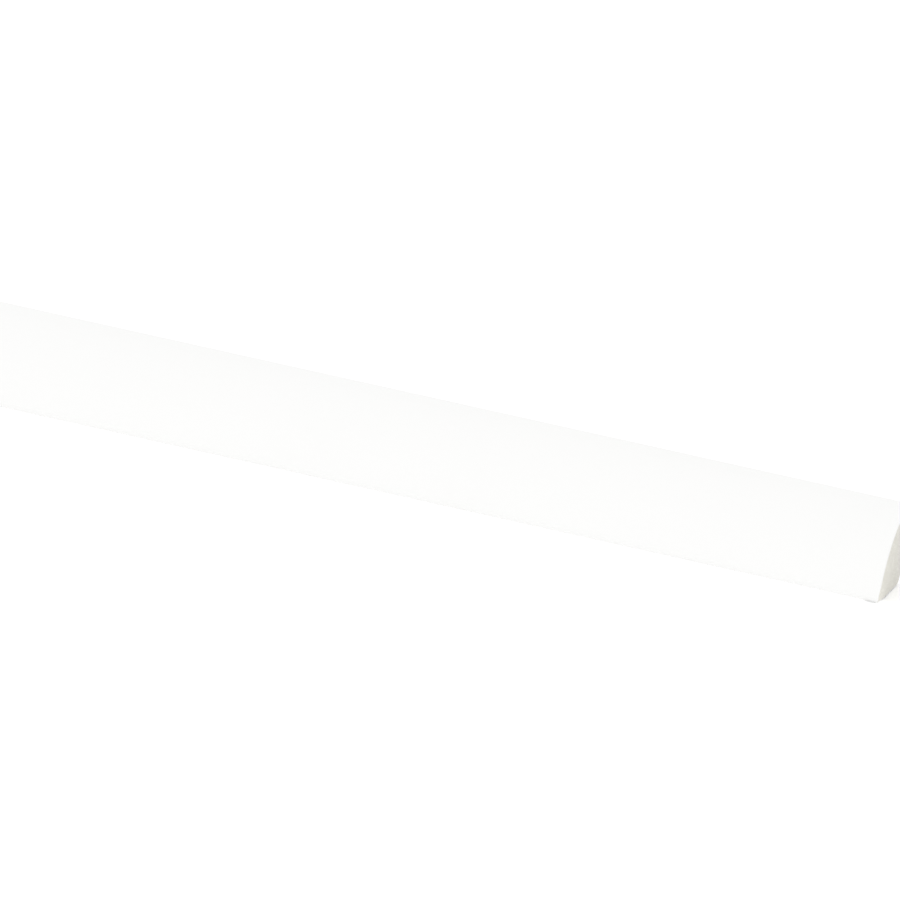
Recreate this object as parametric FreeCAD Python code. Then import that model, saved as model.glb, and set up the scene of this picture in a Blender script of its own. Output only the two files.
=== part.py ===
import FreeCAD, Part
import math
import os

# Quarter round moulding: one solid stick of white trim, sold by the length.
# Its section is a quarter of a disc. One flat lies on the floor, the other stands against the
# wall, and the round face covers the joint between them.
# X runs along the stick, Y points into the wall and Z points up. The origin is on the floor,
# under the middle of the section and half way along the stick.

# Driving dimensions, in millimetres
LENGTH = 2438.4            # an eight foot stick
LEG = 19.05                # radius of the round face, and each flat's reach before its edges are eased
ARRIS_RADIUS = 1.6         # soft edge where the round face meets a flat
BACK_CORNER_RADIUS = 2.4   # easing where the two flats meet, which clears a filled corner
END_EASE = 0.3             # edge broken all round each sawn end

# Places that follow from them
WALL_Y = LEG / 2
FRONT_Y = WALL_Y - LEG
LEFT_END_X = -LENGTH / 2
RIGHT_END_X = LENGTH / 2
SAME_PLACE = 1e-6          # two coordinates closer than this are one place


def at_left_end(y, z):
    """A point of the section, drawn in the plane of the left end."""
    return FreeCAD.Vector(LEFT_END_X, y, z)


def quarter_disc():
    """The sharp-cornered section: two flats at right angles, closed by a quarter circle."""
    corner = at_left_end(WALL_Y, 0)
    front = at_left_end(FRONT_Y, 0)
    top = at_left_end(WALL_Y, LEG)
    diagonal = LEG * math.sqrt(0.5)
    crown = at_left_end(WALL_Y - diagonal, diagonal)
    outline = Part.Wire([
        Part.LineSegment(corner, front).toShape(),
        Part.Arc(front, crown, top).toShape(),
        Part.LineSegment(top, corner).toShape(),
    ])
    return Part.Face(outline)


def edge_along_stick(solid, y, z):
    """The long straight edge of the solid that runs through the section's point y, z."""
    def runs_there(edge):
        return all(
            abs(vertex.Y - y) < SAME_PLACE and abs(vertex.Z - z) < SAME_PLACE
            for vertex in edge.Vertexes
        )
    return next(edge for edge in solid.Edges if runs_there(edge))


def edges_round_end(solid, end_x):
    """The closed loop of edges round one sawn end."""
    def lies_in_end(edge):
        return all(abs(vertex.X - end_x) < SAME_PLACE for vertex in edge.Vertexes)
    return [edge for edge in solid.Edges if lies_in_end(edge)]


def moulding():
    """The whole stick: the section run out to its length, its long edges eased, then its ends."""
    stick = quarter_disc().extrude(FreeCAD.Vector(LENGTH, 0, 0))
    front_arris = edge_along_stick(stick, FRONT_Y, 0)
    top_arris = edge_along_stick(stick, WALL_Y, LEG)
    stick = stick.makeFillet(ARRIS_RADIUS, [front_arris, top_arris])
    back_corner = edge_along_stick(stick, WALL_Y, 0)
    stick = stick.makeFillet(BACK_CORNER_RADIUS, [back_corner])
    end_edges = edges_round_end(stick, LEFT_END_X) + edges_round_end(stick, RIGHT_END_X)
    return stick.makeFillet(END_EASE, end_edges)


def main():
    os.makedirs("parts", exist_ok=True)
    stick = moulding()
    box = stick.optimalBoundingBox()
    print("valid", stick.isValid(), "solids", len(stick.Solids), "faces", len(stick.Faces))
    print("size", round(box.XLength, 3), round(box.YLength, 3), round(box.ZLength, 3), "mm")
    print("volume", round(stick.Volume / 1000, 2), "cm3")
    stick.exportStep("parts/quarter_round.step")


main()
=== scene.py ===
# %% [markdown]
# # A quarter round moulding
# This lesson dresses one stick of white trim. A quarter round is run along an inside corner, such as
# the joint of a floor and a wall, and hides the gap there. The real stick is foamed plastic, white
# all through, with a satin skin and two sawn ends.
# The frame gives the stick's place and outer size, in metres: X along the stick, Y into the wall,
# Z up. We keep that box, because the dressed stick may not grow out of it.

# %% Load the frame
import math
import bmesh
import bpy
from mathutils import Matrix, Vector


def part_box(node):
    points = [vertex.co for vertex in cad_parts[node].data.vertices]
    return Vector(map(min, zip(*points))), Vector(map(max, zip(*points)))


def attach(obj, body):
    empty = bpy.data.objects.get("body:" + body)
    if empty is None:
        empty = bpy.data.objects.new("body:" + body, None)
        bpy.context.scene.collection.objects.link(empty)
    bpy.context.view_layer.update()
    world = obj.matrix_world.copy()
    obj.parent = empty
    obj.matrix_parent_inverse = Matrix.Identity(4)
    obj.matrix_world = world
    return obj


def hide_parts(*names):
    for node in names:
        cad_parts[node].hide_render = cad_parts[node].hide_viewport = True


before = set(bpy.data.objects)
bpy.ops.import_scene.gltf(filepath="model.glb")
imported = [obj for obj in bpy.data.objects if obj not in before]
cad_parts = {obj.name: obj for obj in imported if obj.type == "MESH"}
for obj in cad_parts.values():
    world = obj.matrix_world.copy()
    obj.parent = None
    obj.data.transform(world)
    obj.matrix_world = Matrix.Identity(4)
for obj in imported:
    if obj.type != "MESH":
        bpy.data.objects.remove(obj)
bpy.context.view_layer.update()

# %% [markdown]
# ## Sizes of the section
# The section is a quarter of a disc with soft corners. The frame's own mesh shows its round face as
# a few flat facets, which is enough for a simulation but not for a picture, so we model the stick
# again with fine arcs. Each size is the real one, in metres.

# %% Sizes
LEG = 0.01905                 # radius of the round face, and the reach of each flat
ARRIS_RADIUS = 0.0016         # soft edge where the round face meets a flat
BACK_CORNER_RADIUS = 0.0024   # eased corner between the two flats
stick_low, stick_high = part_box("quarter_round")
left_end = stick_low.x
right_end = stick_high.x
wall = stick_high.y
floor_level = stick_low.z
length = right_end - left_end
arris_reach = math.sqrt((LEG - ARRIS_RADIUS) ** 2 - ARRIS_RADIUS ** 2)
arris_turn = math.asin(ARRIS_RADIUS / (LEG - ARRIS_RADIUS))
quarter_turn = math.radians(90)
print("stick", round(length, 4), "m long; arris centre", round(arris_reach, 5), "m from the flat")

# %% [markdown]
# ## Start of the outline
# We could cut a cylinder in four, but a bevel can't be wider than the narrow facets beside it, so
# its arrises would come out too sharp. Instead we walk one vertex round the outline. A plane merged
# to its centre leaves that vertex, at the place where the floor flat leaves the back corner.

# %% One vertex at the back of the floor flat
def in_section(out_from_wall, height):
    """A point of the section, in the plane of the left end."""
    return Vector((left_end, wall - out_from_wall, floor_level + height))


bpy.ops.object.select_all(action="DESELECT")
bpy.ops.mesh.primitive_plane_add(size=LEG, location=in_section(BACK_CORNER_RADIUS, 0))
stick = bpy.context.object
stick.name = "trim_stick"
stick.data.name = "trim_stick"
bpy.ops.object.transform_apply(location=True, rotation=True, scale=True)
bpy.ops.object.mode_set(mode="EDIT")
bpy.ops.mesh.select_mode(type="VERT")
bpy.ops.mesh.select_all(action="SELECT")
bpy.ops.mesh.merge(type="CENTER")
print("outline starts with", len(bmesh.from_edit_mesh(stick.data).verts), "vertex")

# %% [markdown]
# ## Walk round the outline
# Extrude takes the vertex along a flat, and spin takes it round a corner. Every arc starts where the
# last one ends and in the same direction, so the round face runs into its arrises with no kink.
# The round face gets the most steps, because it is the face that everyone sees.

# %% Extrude the flats and spin the corners
ROUND_FACE_STEPS = 64
ARRIS_STEPS = 10
BACK_CORNER_STEPS = 8


def walk_flat(out_from_wall, up):
    """Takes the last vertex straight on."""
    bpy.ops.mesh.extrude_region_move(TRANSFORM_OT_translate={"value": (0, -out_from_wall, up)})


def walk_arc(centre, turn, steps):
    """Takes the last vertex round a centre, from the floor to the front and on over the top."""
    bpy.ops.mesh.spin(steps=steps, angle=turn, center=centre, axis=(1, 0, 0))


bpy.ops.mesh.select_all(action="SELECT")
walk_flat(arris_reach - BACK_CORNER_RADIUS, 0)
walk_arc(in_section(arris_reach, ARRIS_RADIUS), quarter_turn + arris_turn, ARRIS_STEPS)
walk_arc(in_section(0, 0), quarter_turn - 2 * arris_turn, ROUND_FACE_STEPS)
walk_arc(in_section(ARRIS_RADIUS, arris_reach), quarter_turn + arris_turn, ARRIS_STEPS)
walk_flat(0, BACK_CORNER_RADIUS - arris_reach)
walk_arc(in_section(BACK_CORNER_RADIUS, BACK_CORNER_RADIUS), quarter_turn, BACK_CORNER_STEPS)
print("outline", len(bmesh.from_edit_mesh(stick.data).verts), "vertices")

# %% [markdown]
# ## From outline to stick
# The walk ends where it began, so the two vertices there are merged. The outline is filled with one
# face, and the face is extruded to the far end, as the real stick is pressed out of a die.

# %% Fill and extrude
SAME_PLACE = 1e-6             # two places closer than this are one

bpy.ops.mesh.select_all(action="SELECT")
bpy.ops.mesh.remove_doubles(threshold=SAME_PLACE)
bpy.ops.mesh.edge_face_add()
bpy.ops.mesh.extrude_region_move(TRANSFORM_OT_translate={"value": (length, 0, 0)})
bpy.ops.mesh.select_all(action="SELECT")
bpy.ops.mesh.normals_make_consistent(inside=False)
print("plain stick", len(bmesh.from_edit_mesh(stick.data).faces), "faces")

# %% [markdown]
# ## Cross rings
# Most of the stick's faces are now needles, over two metres long and less than half a millimetre wide,
# which shade and unwrap badly. The real stick has no rings, so they may not change its shape: when the
# long edges are subdivided, the faces are parted and every new vertex stays on its edge. A helper
# selects edges or faces by a test, here by how far an edge reaches.

# %% Part the long faces
CROSS_RINGS = 47              # a ring about every 50 mm


def select_where(kind, wanted):
    """In edit mode, selects the edges or faces that pass a test, and returns how many do."""
    bpy.ops.mesh.select_mode(type={"edges": "EDGE", "faces": "FACE"}[kind])
    bpy.ops.mesh.select_all(action="DESELECT")
    edit_mesh = bmesh.from_edit_mesh(stick.data)
    chosen = [item for item in getattr(edit_mesh, kind) if wanted(item)]
    for item in chosen:
        item.select_set(True)
    bmesh.update_edit_mesh(stick.data)
    return len(chosen)


def runs_along_stick(edge):
    """Whether an edge reaches from end to end."""
    return abs(edge.verts[0].co.x - edge.verts[1].co.x) > length / 2


print("long edges", select_where("edges", runs_along_stick))
bpy.ops.mesh.subdivide(number_cuts=CROSS_RINGS)
print("faces", len(bmesh.from_edit_mesh(stick.data).faces))

# %% [markdown]
# ## The sawn ends
# A saw leaves a square end, and handling takes the sharpness off its rim. The rim is a closed loop of
# edges, so a small bevel goes all the way round it.

# %% Ease the rims
END_EASE = 0.0003
END_EASE_STEPS = 3


def lies_in(item, place, normal):
    """Whether an edge or a face lies in the plane through a place."""
    return all(abs((vertex.co - place).dot(normal)) < SAME_PLACE for vertex in item.verts)


def is_sawn(item):
    """Whether an edge or a face lies in one of the two sawn ends."""
    along = Vector((1, 0, 0))
    return lies_in(item, along * left_end, along) or lies_in(item, along * right_end, along)


print("rim edges", select_where("edges", is_sawn))
bpy.ops.mesh.bevel(offset=END_EASE, segments=END_EASE_STEPS, affect="EDGES", clamp_overlap=False)

# %% [markdown]
# ## The worn corner
# In the photograph the lower front corner of the sawn end is knocked off: a small pale facet shows
# there. A thin dark line under that end suggests that its lower edge has come off the floor a little.
# Bisect cuts the stick with a plane and throws away the side that the plane's normal points to. The
# stick bulges outwards everywhere, so a slanted plane near a corner takes that corner only. Bisect
# treats vertices close to the plane as if they lay in it, so for cuts this small that closeness is
# set very low.

# %% Lift the foot and cut the corner
FOOT_ALONG = 0.0040           # length along the stick over which the foot is lifted
FOOT_LIFT = 0.0002
SIDE_BITE = Vector((0.0002, 0.0040, 0.0050))    # reach along the stick, along the end and up it
LOWER_BITE = Vector((0.0008, 0.0060, 0.0011))
IN_PLANE = 1e-7               # a vertex closer to the plane than this lies in it


def cut_away(place, normal):
    """In edit mode, cuts off what lies beyond a plane, closes the cut and keeps its edges crisp."""
    bpy.ops.mesh.select_all(action="SELECT")
    bpy.ops.mesh.bisect(
        plane_co=place, plane_no=normal, threshold=IN_PLANE, use_fill=True, clear_outer=True
    )
    bpy.ops.mesh.select_all(action="SELECT")
    bpy.ops.mesh.normals_make_consistent(inside=False)
    print("edges of the cut", select_where("edges", lambda edge: lies_in(edge, place, normal)))
    bpy.ops.mesh.mark_sharp()


front_foot = Vector((right_end, wall - LEG, floor_level))
cut_away(front_foot - Vector((FOOT_ALONG, 0, 0)), Vector((FOOT_LIFT, 0, -FOOT_ALONG)).normalized())
bites = []
for bite in (SIDE_BITE, LOWER_BITE):
    place = front_foot - Vector((bite.x, 0, 0))
    normal = Vector((1 / bite.x, -1 / bite.y, -1 / bite.z)).normalized()
    cut_away(place, normal)
    bites.append((place, normal))
bpy.ops.object.mode_set(mode="OBJECT")
print("stick", len(stick.data.vertices), "vertices", len(stick.data.polygons), "faces")

# %% [markdown]
# ## Smooth shading
# The arcs should look round and the flats flat. Smooth shading alone would bend the light on a flat
# near its soft corners. The Weighted Normal modifier lets the large faces decide, so the bend stays
# in the small corner faces.

# %% Shade by angle, then weigh the normals by face area
SMOOTH_BELOW = math.radians(40)

bpy.ops.object.shade_smooth_by_angle(angle=SMOOTH_BELOW)
weighting = stick.modifiers.new("weigh_normals", "WEIGHTED_NORMAL")
weighting.keep_sharp = True
bpy.ops.object.modifier_apply(modifier=weighting.name)
print("own normals", stick.data.has_custom_normals)

# %% [markdown]
# ## Helpers for node trees
# Materials here are small trees of nodes. The first helper adds one node, sets its properties, and
# fills its inputs with a value or with a link from another node's output. The others add the nodes
# that every finish needs: a noise, a change of range, a mix of two colours and a bump.

# %% Node helpers
NUMBERS = (2, 3)              # a Mix node has a pair of inputs for each kind of value
COLOURS = (6, 7)
MIXED_COLOUR = 2              # and an output for each


def add_node(tree, kind, inputs=None, **properties):
    """Adds a node to a tree. An input is given by name or number, and may be a value or an output."""
    made = tree.nodes.new(kind)
    for name, value in properties.items():
        setattr(made, name, value)
    for name, value in (inputs or {}).items():
        if isinstance(value, bpy.types.NodeSocket):
            tree.links.new(value, made.inputs[name])
        else:
            made.inputs[name].default_value = value
    return made


def own_place(tree):
    """The place on the piece, in metres."""
    return add_node(tree, "ShaderNodeTexCoord").outputs["Object"]


def noise(tree, per_metre, detail):
    """A noise with a number of waves to the metre, for each of the three axes."""
    place = add_node(tree, "ShaderNodeMapping", {"Vector": own_place(tree), "Scale": per_metre})
    inputs = {"Vector": place.outputs[0], "Scale": 1.0, "Detail": detail}
    return add_node(tree, "ShaderNodeTexNoise", inputs).outputs[0]


def in_range(tree, value, low, high, new_low=0.0, new_high=1.0):
    """A value from low to high, taken to another range and held within it."""
    inputs = {"Value": value, "From Min": low, "From Max": high, "To Min": new_low, "To Max": new_high}
    return add_node(tree, "ShaderNodeMapRange", inputs).outputs[0]


def mixed(tree, factor, first, second):
    """A colour between two, by a factor."""
    inputs = {"Factor": factor, COLOURS[0]: first, COLOURS[1]: second}
    return add_node(tree, "ShaderNodeMix", inputs, data_type="RGBA").outputs[MIXED_COLOUR]


def bump(tree, height, depth, normal=None):
    """A normal that is tilted by a height, on top of another bump if there is one."""
    inputs = {"Height": height, "Distance": depth, "Strength": 1.0}
    if normal:
        inputs["Normal"] = normal
    return add_node(tree, "ShaderNodeBump", inputs).outputs[0]


print("node helpers ready")

# %% [markdown]
# ## Smudges from handling
# White trim picks up faint grey smudges in a store. They show on the skin and on the sawn ends alike,
# so they are a node group, built once and placed in each material with an amount of its own. Two
# noises are multiplied: a wide one says where the stick was held, and a finer one breaks its edge up.

# %% Node group: hand smudges
WIDE_SMUDGES = (28.0, 28.0, 28.0)       # patches of about 35 mm
WIDE_DETAIL = 2.0
FINE_SMUDGES = (420.0, 420.0, 420.0)    # breaks of about 2 mm
FINE_DETAIL = 4.0
HELD_FROM = 0.52
HELD_FULLY = 0.74
MOST_NOISE = (0.3, 0.7)                 # nearly all of a noise lies between these

smudges = bpy.data.node_groups.new("hand_smudges", "ShaderNodeTree")
smudges.interface.new_socket("Amount", in_out="INPUT", socket_type="NodeSocketFloat")
smudges.interface.new_socket("Smudge", in_out="OUTPUT", socket_type="NodeSocketFloat")
amount = add_node(smudges, "NodeGroupInput").outputs["Amount"]
held = in_range(smudges, noise(smudges, WIDE_SMUDGES, WIDE_DETAIL), HELD_FROM, HELD_FULLY)
broken = in_range(smudges, noise(smudges, FINE_SMUDGES, FINE_DETAIL), *MOST_NOISE, 0.0, amount)
smudge = add_node(smudges, "ShaderNodeMath", {0: held, 1: broken}, operation="MULTIPLY")
add_node(smudges, "NodeGroupOutput", {"Smudge": smudge.outputs[0]})


def smudge_mask(tree, amount):
    """How smudged a place is, up to an amount, from the node group."""
    return add_node(tree, "ShaderNodeGroup", {"Amount": amount}, node_tree=smudges).outputs["Smudge"]


print("group", smudges.name, len(smudges.nodes), "nodes")

# %% [markdown]
# ## Satin skin
# The skin is a slightly warm white, satin rather than glossy. The die leaves very faint lines along
# the stick, and the foam under the skin gives it a slight orange peel. Both are far too shallow to
# model, so they are bump. The lines are a noise that is stretched along X.

# %% Material: satin skin
SKIN_WHITE = (0.945, 0.945, 0.937, 1)
SKIN_SMUDGED = (0.93, 0.93, 0.918, 1)
SKIN_SMUDGES = 0.8
SATIN = (0.5, 0.58)                     # smoothest and roughest die lines
DIE_LINES = (0.8, 900.0, 900.0)
DIE_LINE_DETAIL = 3.0
DIE_LINE_DEPTH = 0.000012
ORANGE_PEEL = (700.0, 700.0, 700.0)
ORANGE_PEEL_DETAIL = 2.0
ORANGE_PEEL_DEPTH = 0.000006


def new_material(name):
    """A material with an empty node tree."""
    made = bpy.data.materials.new(name)
    made.use_nodes = True
    made.node_tree.nodes.clear()
    return made, made.node_tree


def finish_material(tree, shader):
    """Takes a shader to the output of its material."""
    add_node(tree, "ShaderNodeOutputMaterial", {"Surface": shader.outputs[0]})


satin_skin, tree = new_material("satin_skin")
die_lines = noise(tree, DIE_LINES, DIE_LINE_DETAIL)
peel = noise(tree, ORANGE_PEEL, ORANGE_PEEL_DETAIL)
skin = add_node(tree, "ShaderNodeBsdfPrincipled", {
    "Base Color": mixed(tree, smudge_mask(tree, SKIN_SMUDGES), SKIN_WHITE, SKIN_SMUDGED),
    "Roughness": in_range(tree, die_lines, *MOST_NOISE, *SATIN),
    "Normal": bump(tree, die_lines, DIE_LINE_DEPTH, bump(tree, peel, ORANGE_PEEL_DEPTH)),
})
finish_material(tree, skin)
print("material", satin_skin.name)

# %% [markdown]
# ## Saw marks
# A round blade leaves faint arcs on the ends it cuts. A Wave texture could draw rings, but they would be
# too even. A noise that changes only with the distance from the blade's centre, below and behind the
# stick, gives arcs of uneven width. The marks are very shallow, so they are bump.

# %% Saw marks
ACROSS_STICK = (0, 1, 1)
BLADE_CENTRE = (0, 0.03, -0.12)
MARKS_PER_METRE = 1100.0
MARK_DETAIL = 3.0
SAW_MARK_DEPTH = 0.00004


def saw_marks(tree):
    """A normal that is tilted by the arcs of the blade."""
    place = {0: own_place(tree), 1: ACROSS_STICK}
    in_cut = add_node(tree, "ShaderNodeVectorMath", place, operation="MULTIPLY").outputs[0]
    reach = {0: in_cut, 1: BLADE_CENTRE}
    from_blade = add_node(tree, "ShaderNodeVectorMath", reach, operation="DISTANCE").outputs["Value"]
    inputs = {"W": from_blade, "Scale": MARKS_PER_METRE, "Detail": MARK_DETAIL}
    marks = add_node(tree, "ShaderNodeTexNoise", inputs, noise_dimensions="1D").outputs[0]
    return bump(tree, marks, SAW_MARK_DEPTH)


print("saw marks", SAW_MARK_DEPTH * 1000, "mm deep")

# %% [markdown]
# ## Sawn foam
# The sawn ends and the knocked corner are duller and warmer than the skin, because the saw opens the
# foam's cells and each is a tiny shaded pit; their flat colour is partly the foam's own and partly
# painted shade. There are far too many cells to model, so the pits are the cells of a Voronoi texture,
# about a
# quarter of a millimetre across: painted shade darkens the colour towards each cell's middle, and a bump
# bends the light. A wider noise makes the cut a little blotchy.

# %% Material: sawn foam
FOAM_WHITE = (0.905, 0.89, 0.82, 1)
FOAM_DULL = (0.865, 0.845, 0.775, 1)
# painted shade: the colour in the middle of each foam cell, for the shade in its pit
FOAM_PIT_SHADE = (0.76, 0.745, 0.685, 1)
FOAM_SMUDGES = 1.0                      # rough foam holds more of the dirt
FOAM_ROUGHNESS = 0.8
FOAM_SPECULAR = 0.3
BLOTCHES = (700.0, 700.0, 700.0)
BLOTCH_DETAIL = 3.0
CELLS_PER_METRE = 4200.0
CELL_DEPTH = 0.00008
PIT_SHADE_FULL = 0.1                          # from the middle of a cell, in cells
PIT_SHADE_GONE = 0.5

sawn_foam, tree = new_material("sawn_foam")
cells = add_node(tree, "ShaderNodeTexVoronoi", {"Vector": own_place(tree), "Scale": CELLS_PER_METRE})
from_middle = cells.outputs["Distance"]
blotch = in_range(tree, noise(tree, BLOTCHES, BLOTCH_DETAIL), *MOST_NOISE)
smudged = smudge_mask(tree, FOAM_SMUDGES)
dull = add_node(tree, "ShaderNodeMath", {0: blotch, 1: smudged}, operation="MAXIMUM")
flat_colour = mixed(tree, dull.outputs[0], FOAM_WHITE, FOAM_DULL)
# painted shade in each cell's pit, full at its middle and gone towards its edge
pit_shade = in_range(tree, from_middle, PIT_SHADE_FULL, PIT_SHADE_GONE, 1.0, 0.0)
foam = add_node(tree, "ShaderNodeBsdfPrincipled", {
    "Base Color": mixed(tree, pit_shade, flat_colour, FOAM_PIT_SHADE),
    "Roughness": FOAM_ROUGHNESS,
    "Specular IOR Level": FOAM_SPECULAR,
    "Normal": bump(tree, from_middle, CELL_DEPTH, saw_marks(tree)),
})
finish_material(tree, foam)
print("material", sawn_foam.name)

# %% [markdown]
# ## Give each face its material
# The stick is one piece, so it stays one mesh and has two material slots. The skin covers most of it
# and is the first. The faces of the sawn ends and of the knocked corner are selected and given the
# second, the foam.

# %% Assign the materials
FOAM_SLOT = 1

stick.data.materials.append(satin_skin)
stick.data.materials.append(sawn_foam)
bpy.ops.object.mode_set(mode="EDIT")


def shows_foam(face):
    """Whether a face lies in a sawn end or in one of the bites."""
    return is_sawn(face) or any(lies_in(face, place, normal) for place, normal in bites)


print("foam faces", select_where("faces", shows_foam))
stick.active_material_index = FOAM_SLOT
bpy.ops.object.material_slot_assign()
bpy.ops.object.mode_set(mode="OBJECT")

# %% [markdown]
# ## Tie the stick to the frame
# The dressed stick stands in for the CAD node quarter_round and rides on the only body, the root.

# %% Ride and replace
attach(stick, "root")
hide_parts("quarter_round")

# %% [markdown]
# ## Floor
# The picture shows the stick on plain white. The floor is one plane, a hair below the stick, and so wide
# that its far edge is out of the picture.

# %% Floor
FLOOR_WIDTH = 120.0
FLOOR_GAP = 0.00002           # keeps the floor and the underside of the stick apart

bpy.ops.object.select_all(action="DESELECT")
bpy.ops.mesh.primitive_plane_add(size=FLOOR_WIDTH, location=(0, 0, floor_level - FLOOR_GAP))
floor = bpy.context.object
floor.name = "floor"
print("floor", FLOOR_WIDTH, "m wide")

# %% [markdown]
# ## White floor
# The picture has hardly a shadow along the front of the stick. So in front of the stick the floor's
# paint gives way to a soft glow, like a light table, and the line where the stick touches it stays
# pale. For the camera and for reflections the lit paint and the glow add up to a little over white, so
# that only the shadow beside the stick shows. For the rays that light the stick, the floor beside and
# behind it is a light grey. Light Path tells the two kinds of rays apart. At the lifted foot the glow is
# weaker, in a small round spot, so the gap there shows as a thin dark line.

# %% Material: white floor
FLOOR_PALE = 0.6              # beside and behind the stick
FLOOR_SHOWN = 1.12            # a little over white
FLOOR_GLOW = 0.8              # in front of the stick
GLOW_FADE = 0.004             # the glow ends under the stick, over this distance
FOOT_GLOW = 0.3               # in a spot at the lifted foot
FOOT_SPOT = (0.0012, 0.0022)  # the glow rises between these distances from the foot's middle


def shown_directly(tree):
    """One for the rays that show a surface to the camera, directly, mirrored or through glass."""
    path = add_node(tree, "ShaderNodeLightPath").outputs
    mirrored = add_node(
        tree, "ShaderNodeMath", {0: path["Is Glossy Ray"], 1: path["Is Transmission Ray"]},
        operation="MAXIMUM"
    )
    return add_node(
        tree, "ShaderNodeMath", {0: path["Is Camera Ray"], 1: mirrored.outputs[0]}, operation="MAXIMUM"
    ).outputs[0]


white_floor, tree = new_material("white_floor")
towards_wall = add_node(tree, "ShaderNodeSeparateXYZ", {0: own_place(tree)}).outputs["Y"]
front_contact = wall - arris_reach
reach = {0: own_place(tree), 1: (right_end - FOOT_ALONG / 2, front_contact, 0)}
from_foot = add_node(tree, "ShaderNodeVectorMath", reach, operation="DISTANCE").outputs["Value"]
full_glow = in_range(tree, from_foot, *FOOT_SPOT, FOOT_GLOW, FLOOR_GLOW)
glow_level = in_range(tree, towards_wall, front_contact, front_contact + GLOW_FADE, full_glow, 0.0)
pale_level = in_range(tree, glow_level, 0.0, FLOOR_GLOW, FLOOR_PALE, 1.0 - FLOOR_GLOW)
shown_level = add_node(tree, "ShaderNodeMath", {0: FLOOR_SHOWN, 1: glow_level}, operation="SUBTRACT")
level_inputs = {
    "Factor": shown_directly(tree), NUMBERS[0]: pale_level, NUMBERS[1]: shown_level.outputs[0]
}
paint_level = add_node(tree, "ShaderNodeMix", level_inputs)
paint = add_node(tree, "ShaderNodeBsdfDiffuse", {"Color": paint_level.outputs[0]})
glow = add_node(tree, "ShaderNodeEmission", {"Strength": glow_level})
finish_material(tree, add_node(tree, "ShaderNodeAddShader", {0: paint.outputs[0], 1: glow.outputs[0]}))
floor.data.materials.append(white_floor)
print("material", white_floor.name)

# %% [markdown]
# ## Light
# The picture was lit softly from all round. A plain white world does that: at a strength of one a
# colour renders about as it is written, and the background is white. One weak and very soft lamp
# from the front lifts the middle of the round face a little.

# %% World and front lamp
PLAIN_WHITE = (1, 1, 1, 1)
PLAIN_STRENGTH = 1.0
FRONT_STRENGTH = 0.15
FRONT_RAISE = math.radians(17)
FRONT_TURN = math.radians(-10)
FRONT_SOFTNESS = math.radians(60)

world = bpy.data.worlds.new("white_surround")
bpy.context.scene.world = world
world.use_nodes = True
world.node_tree.nodes.clear()
world_light = {"Color": PLAIN_WHITE, "Strength": PLAIN_STRENGTH}
surround = add_node(world.node_tree, "ShaderNodeBackground", world_light)
add_node(world.node_tree, "ShaderNodeOutputWorld", {"Surface": surround.outputs[0]})
bpy.ops.object.light_add(type="SUN", rotation=(quarter_turn - FRONT_RAISE, 0, FRONT_TURN))
front_lamp = bpy.context.object
front_lamp.name = "front_lamp"
front_lamp.data.energy = FRONT_STRENGTH
front_lamp.data.angle = FRONT_SOFTNESS
print("world", world.name, "and lamp", front_lamp.name)

# %% [markdown]
# ## Camera
# The photograph looks at the right end from in front, a little to the right and above, from far off,
# and the picture is tilted, so the stick falls to the right. We build the camera's turn from three
# angles and place it so that one corner of the sawn end lands on its pixel.

# %% Camera
TURN_RIGHT = math.radians(13.08)
RAISE = math.radians(16.98)
ROLL = math.radians(8.665)
CAMERA_DISTANCE = 4.4
SENSOR_WIDTH = 36.0           # millimetres
SEEN_UP_TO = 500.0            # well past the edge of the floor
PICTURE_WIDTH = 900.0         # pixels, and as many high
PIXELS_PER_METRE = 4534.0
CORNER_PIXEL_X = 899.05
CORNER_PIXEL_Y = 583.05

bpy.ops.object.camera_add()
camera = bpy.context.object
camera.name = "photo_camera"
turned = Matrix.Rotation(TURN_RIGHT, 3, "Z") @ Matrix.Rotation(quarter_turn - RAISE, 3, "X")
turned = turned @ Matrix.Rotation(ROLL, 3, "Z")
to_right = (CORNER_PIXEL_X - PICTURE_WIDTH / 2) / PIXELS_PER_METRE
to_top = (PICTURE_WIDTH / 2 - CORNER_PIXEL_Y) / PIXELS_PER_METRE
corner = Vector((right_end, wall, floor_level))
spot = corner + turned @ Vector((-to_right, -to_top, CAMERA_DISTANCE))
camera.matrix_world = Matrix.Translation(spot) @ turned.to_4x4()
camera.data.sensor_width = SENSOR_WIDTH
camera.data.lens = SENSOR_WIDTH * CAMERA_DISTANCE * PIXELS_PER_METRE / PICTURE_WIDTH
camera.data.clip_end = SEEN_UP_TO
bpy.context.scene.camera = camera
bpy.context.scene.view_settings.view_transform = "Standard"
print("camera at", tuple(round(value, 3) for value in spot), "lens", round(camera.data.lens))
